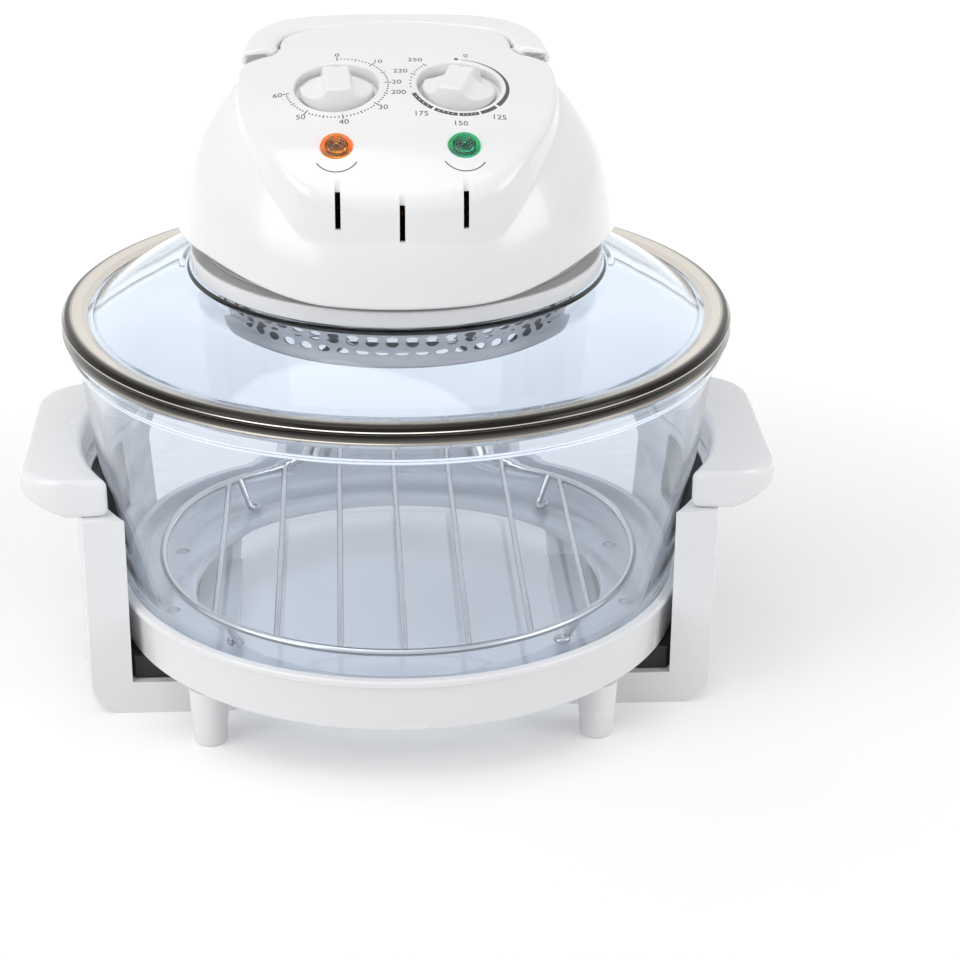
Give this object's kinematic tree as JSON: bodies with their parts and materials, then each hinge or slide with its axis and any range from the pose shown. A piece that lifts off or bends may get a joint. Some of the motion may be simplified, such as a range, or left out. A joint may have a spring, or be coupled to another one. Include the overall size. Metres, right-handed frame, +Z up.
{
  "type": "halogen oven",
  "caption": "Halogen oven: a glass bowl in a ringed stand with side grips, and a glass lid with a heating head, two dials, lamps and a folding handle.",
  "frame": {"origin": "on the table, under the bowl's axis, at the bottom centre of the whole", "axes": "+Z up, -Y to the front with the dials, +X to the right as seen from the front"},
  "size_m": [0.3898, 0.345, 0.3373],
  "materials": {
    "white_plastic": "glossy white moulded plastic",
    "base_plastic": "satin white plastic in the head's shade",
    "knob_plastic": "white dial plastic",
    "rubber": "matt black",
    "glass": "clear heat-proof glass",
    "polished_steel": "polished stainless steel",
    "rack_wire": "plated wire",
    "sheet_steel": "plain pressed steel",
    "aluminium": "bare sheet",
    "ceramic": null,
    "quartz": "frosted quartz tube",
    "copper": "enamelled winding and bronze bushes",
    "stator_steel": "dark laminated steel",
    "dark_plastic": "dark moulding",
    "orange_lens": "clear orange lens",
    "green_lens": "clear green lens"
  },
  "bodies": {
    "stand": {"leg_front_left": "white_plastic", "leg_front_right": "white_plastic", "leg_rear_left": "white_plastic", "leg_rear_right": "white_plastic", "base_ring": "white_plastic", "left_bracket": "white_plastic", "right_bracket": "white_plastic", "left_grip": "white_plastic", "right_grip": "white_plastic", "left_strap": "rubber", "right_strap": "rubber", "left_liner": "rubber", "right_liner": "rubber", "strap_screw_front_left": "sheet_steel", "strap_screw_front_right": "sheet_steel", "strap_screw_rear_left": "sheet_steel", "strap_screw_rear_right": "sheet_steel"},
    "bowl": {"glass_bowl": "glass"},
    "rack": {"wire_rack": "rack_wire"},
    "fan": {"motor_shaft": "sheet_steel", "rotor_core": "stator_steel", "cooling_fan": "dark_plastic", "circulation_fan": "aluminium"},
    "handle": {"lid_handle": "white_plastic"},
    "timer_dial": {"timer_knob": "knob_plastic"},
    "thermostat_dial": {"thermostat_knob": "knob_plastic"},
    "plunger": {"switch_plunger": "dark_plastic"},
    "lid": {"collar_ring": "white_plastic", "head_cover": "white_plastic", "cord_gland": "white_plastic", "head_base": "base_plastic", "glass_lid": "glass", "lid_band": "polished_steel", "reflector_pan": "sheet_steel", "heater_guard": "sheet_steel", "clamp_screw_1": "sheet_steel", "clamp_screw_2": "sheet_steel", "clamp_screw_3": "sheet_steel", "motor_bridge": "sheet_steel", "motor_cap_bar": "sheet_steel", "handle_pin_left": "sheet_steel", "handle_pin_right": "sheet_steel", "timer_body": "sheet_steel", "heat_shield": "aluminium", "tube_holder_left": "ceramic", "tube_holder_right": "ceramic", "terminal_block": "ceramic", "thermostat_body": "ceramic", "halogen_tube": "quartz", "motor_coil": "copper", "lower_bearing": "copper", "upper_bearing": "copper", "motor_stator": "stator_steel", "power_lamp_holder": "dark_plastic", "heat_lamp_holder": "dark_plastic", "safety_switch": "dark_plastic", "power_lamp_lens": "orange_lens", "heat_lamp_lens": "green_lens"}
  },
  "joints": [
    {"name": "bowl_lift", "type": "slide", "parent": "stand", "child": "bowl", "axis": [0, 0, 1], "range_m": [0, 0.12]},
    {"name": "rack_lift", "type": "slide", "parent": "bowl", "child": "rack", "axis": [0, 0, 1], "range_m": [0, 0.08]},
    {"name": "lid_lift", "type": "slide", "parent": "bowl", "child": "lid", "axis": [0, 0, 1], "range_m": [0, 0.2]},
    {"name": "handle_pivot", "type": "hinge", "parent": "lid", "child": "handle", "pos_m": [0, 0.0122, 0.32907], "axis": [1, 0, 0], "range_deg": [0, 90]},
    {"name": "timer_turn", "type": "hinge", "parent": "lid", "child": "timer_dial", "pos_m": [-0.0298, -0.0325, 0.3251], "axis": [0, 0.2504, -0.9681], "range_deg": [0, 285]},
    {"name": "thermostat_turn", "type": "hinge", "parent": "lid", "child": "thermostat_dial", "pos_m": [0.0298, -0.0325, 0.3251], "axis": [0, 0.2504, -0.9681], "range_deg": [0, 300]},
    {"name": "fan_spin", "type": "hinge", "parent": "lid", "child": "fan", "pos_m": [0, 0, 0.25], "axis": [0, 0, 1], "continuous": true},
    {"name": "switch_press", "type": "slide", "parent": "lid", "child": "plunger", "axis": [0, 0, 1], "range_m": [0, 0.003]}
  ],
  "couplings": [
    {"joint": "switch_press", "follows": "handle_pivot", "m_per_rad": 0.0019}
  ]
}
